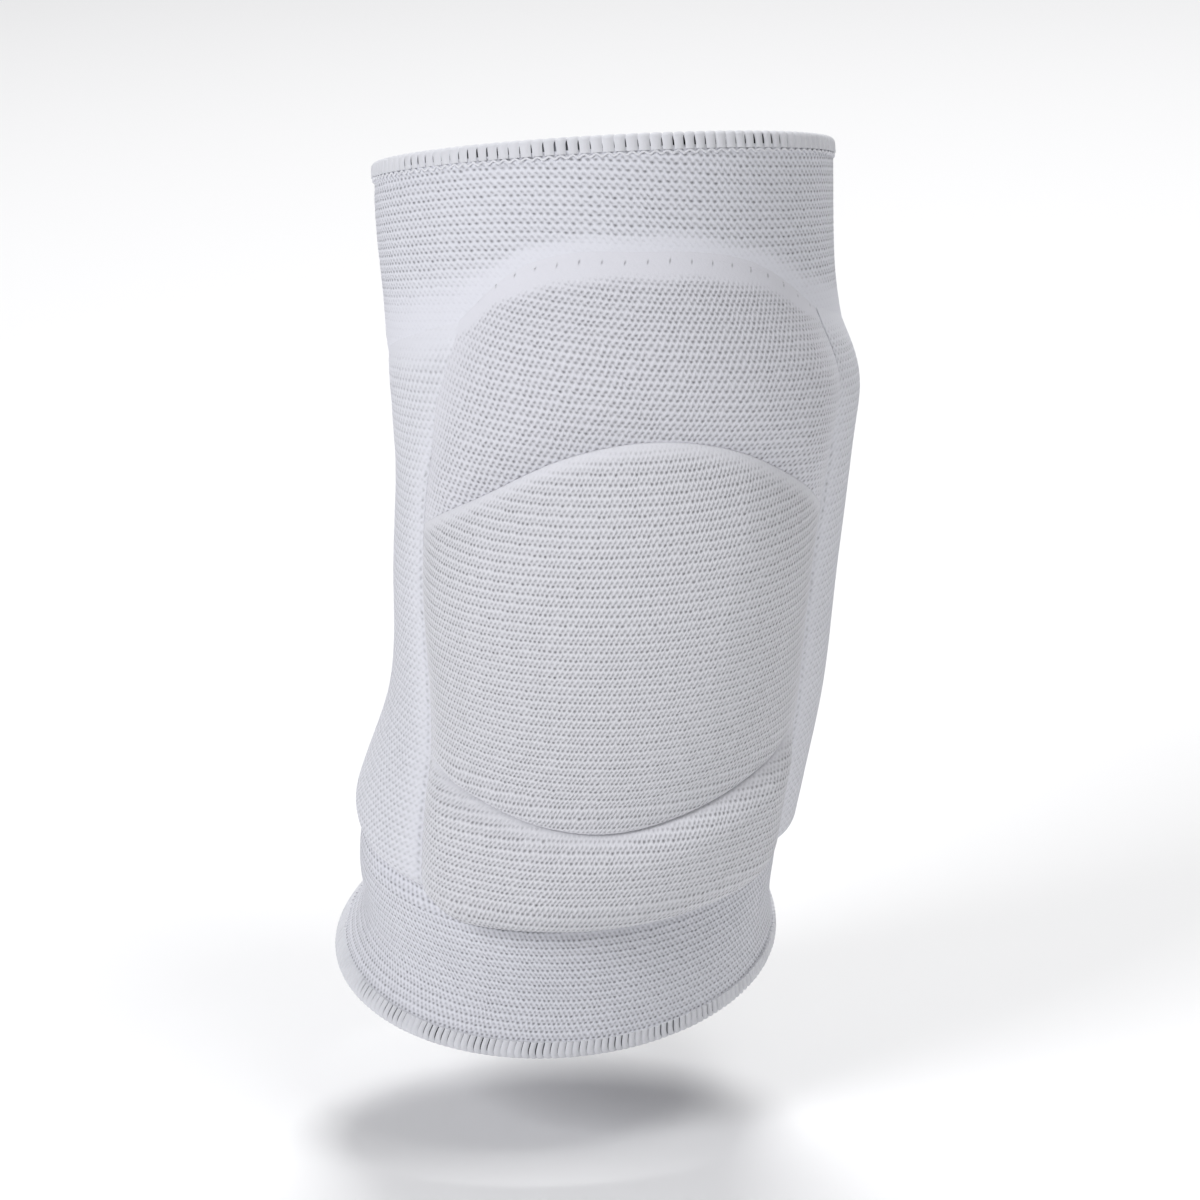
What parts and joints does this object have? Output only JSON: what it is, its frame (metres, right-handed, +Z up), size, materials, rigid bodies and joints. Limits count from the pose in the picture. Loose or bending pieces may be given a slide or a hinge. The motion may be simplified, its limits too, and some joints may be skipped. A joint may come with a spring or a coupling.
{
  "type": "knee pad",
  "caption": "Knitted elastic sports knee pad: a bent tubular sleeve with quilted foam panels over the front and sides, plain cuffs and overlocked rims.",
  "frame": {"origin": "inside the sleeve, on the middle of the leg at the middle of the knee, half way between the rims", "axes": "+Z up along the leg to the thigh, -Y to the front of the knee, +X to the right seen from the front"},
  "size_m": [0.1359, 0.1338, 0.2325],
  "materials": {
    "knit_sleeve": "white elastic knit in fine crosswise ribs, matt",
    "knit_pad": "white elastic knit stretched over foam, its stitches open, matt",
    "edge_thread": "white overlock thread in upright loops"
  },
  "bodies": {
    "root": {"sleeve": "knit_sleeve", "upper_pad": "knit_pad", "centre_pad": "knit_pad", "lower_pad": "knit_pad", "left_side_pad": "knit_pad", "right_side_pad": "knit_pad", "top_edge": "edge_thread", "bottom_edge": "edge_thread"}
  },
  "joints": []
}
